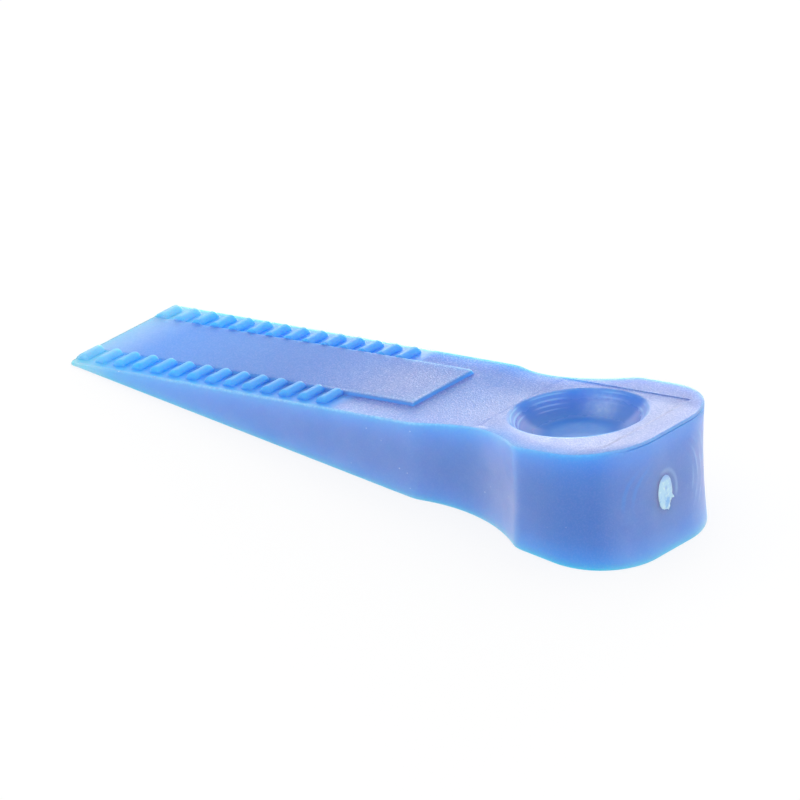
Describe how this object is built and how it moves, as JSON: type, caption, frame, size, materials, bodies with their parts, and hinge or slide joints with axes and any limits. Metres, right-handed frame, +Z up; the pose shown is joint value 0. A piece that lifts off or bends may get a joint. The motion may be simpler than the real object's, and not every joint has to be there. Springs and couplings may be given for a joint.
{
  "type": "tile levelling wedge",
  "caption": "One-piece plastic wedge with a ribbed sloping blade, a raised centre panel, finger scallops and a thumb dish in its head, pushed under the bar of a tile clip.",
  "frame": {"origin": "middle of the underside's bounding rectangle, on the surface that the wedge lies on", "axes": "+X along the blade from the thin tip to the head, +Y across it, +Z up"},
  "size_m": [0.0866, 0.0238, 0.0158],
  "materials": {
    "blue_plastic": "slightly translucent injection-moulded polypropylene, satin with a fine eroded grain on the slope and a polished thumb dish"
  },
  "bodies": {
    "root": {"wedge": "blue_plastic"}
  },
  "joints": []
}
